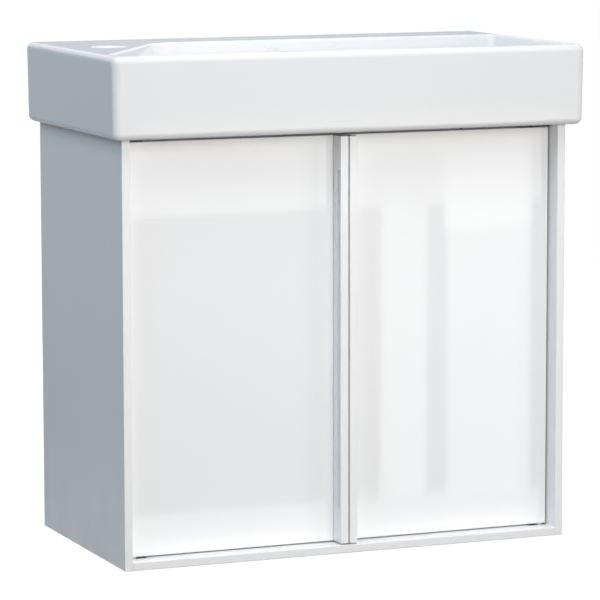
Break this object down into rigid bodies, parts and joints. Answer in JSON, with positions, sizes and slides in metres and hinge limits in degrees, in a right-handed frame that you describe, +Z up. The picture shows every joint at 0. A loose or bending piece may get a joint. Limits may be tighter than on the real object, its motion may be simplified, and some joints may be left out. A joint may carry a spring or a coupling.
{
  "type": "vanity unit",
  "caption": "Wall-hung white vanity unit: slim rectangular ceramic basin on a cabinet with inset gloss doors that meet at grooved handle laths.",
  "frame": {"origin": "centre of the four wall fixing holes, in the plane of the wall", "axes": "+X to the unit's right as seen from the front, +Y into the wall, +Z up"},
  "size_m": [0.5998, 0.3199, 0.6],
  "materials": {
    "ceramic": "glossy glaze",
    "white_board": "satin white lacquer on board",
    "gloss_board": "high-gloss white front",
    "lath_white": "gloss white lath",
    "chrome": "polished",
    "zinc": "zinc plated",
    "nylon": "natural nylon",
    "white_plastic": "moulded",
    "rubber": "black",
    "clear_pad": "translucent pad",
    "beech": "plain",
    "magnet": "ferrite",
    "brass": "plain"
  },
  "bodies": {
    "cabinet": {"basin": "ceramic", "left_side_panel": "white_board", "right_side_panel": "white_board", "bottom_panel": "white_board", "front_rail": "white_board", "rear_top_rail": "white_board", "rear_bottom_rail": "white_board", "shelf": "white_board", "overflow_ring": "chrome", "waste_body": "chrome", "shelf_pins": "zinc", "rail_brackets": "zinc", "bracket_screws": "zinc", "top_pivot_plates": "zinc", "top_pivot_pins": "zinc", "bottom_pivot_plates": "zinc", "bottom_pivot_pins": "zinc", "pivot_screws": "zinc", "catch_screws": "zinc", "hanger_hooks": "zinc", "hanger_adjusters": "zinc", "hanger_screws": "zinc", "wall_plates": "zinc", "thrust_washers": "nylon", "catch_housings": "white_plastic", "hanger_bodies": "white_plastic", "waste_nut": "white_plastic", "plug_guide": "white_plastic", "trap_top_nut": "white_plastic", "trap_inlet_pipe": "white_plastic", "trap_inlet_nut": "white_plastic", "trap_body": "white_plastic", "trap_cup": "white_plastic", "trap_outlet_nut": "white_plastic", "trap_outlet_pipe": "white_plastic", "waste_top_seal": "rubber", "waste_low_seal": "rubber", "door_bumpers": "clear_pad", "carcass_dowels": "beech", "catch_magnets": "magnet"},
    "left_door": {"left_door_panel": "gloss_board", "left_door_lath": "lath_white", "left_lath_dowels": "beech", "left_door_bushes": "nylon", "left_strike_plate": "zinc", "left_strike_screw": "zinc"},
    "right_door": {"right_door_panel": "gloss_board", "right_door_lath": "lath_white", "right_lath_dowels": "beech", "right_door_bushes": "nylon", "right_strike_plate": "zinc", "right_strike_screw": "zinc"},
    "push_plug": {"waste_plug": "chrome", "plug_seal": "rubber", "plug_stem": "brass"}
  },
  "joints": [
    {"name": "left_door_hinge", "type": "hinge", "parent": "cabinet", "child": "left_door", "pos_m": [-0.264, -0.2725, -0.195], "axis": [0, 0, -1], "range_deg": [0, 95]},
    {"name": "right_door_hinge", "type": "hinge", "parent": "cabinet", "child": "right_door", "pos_m": [0.264, -0.2725, -0.195], "axis": [0, 0, 1], "range_deg": [0, 95]},
    {"name": "plug_slide", "type": "slide", "parent": "cabinet", "child": "push_plug", "axis": [0, 0, 1], "range_m": [0, 0.008]}
  ]
}
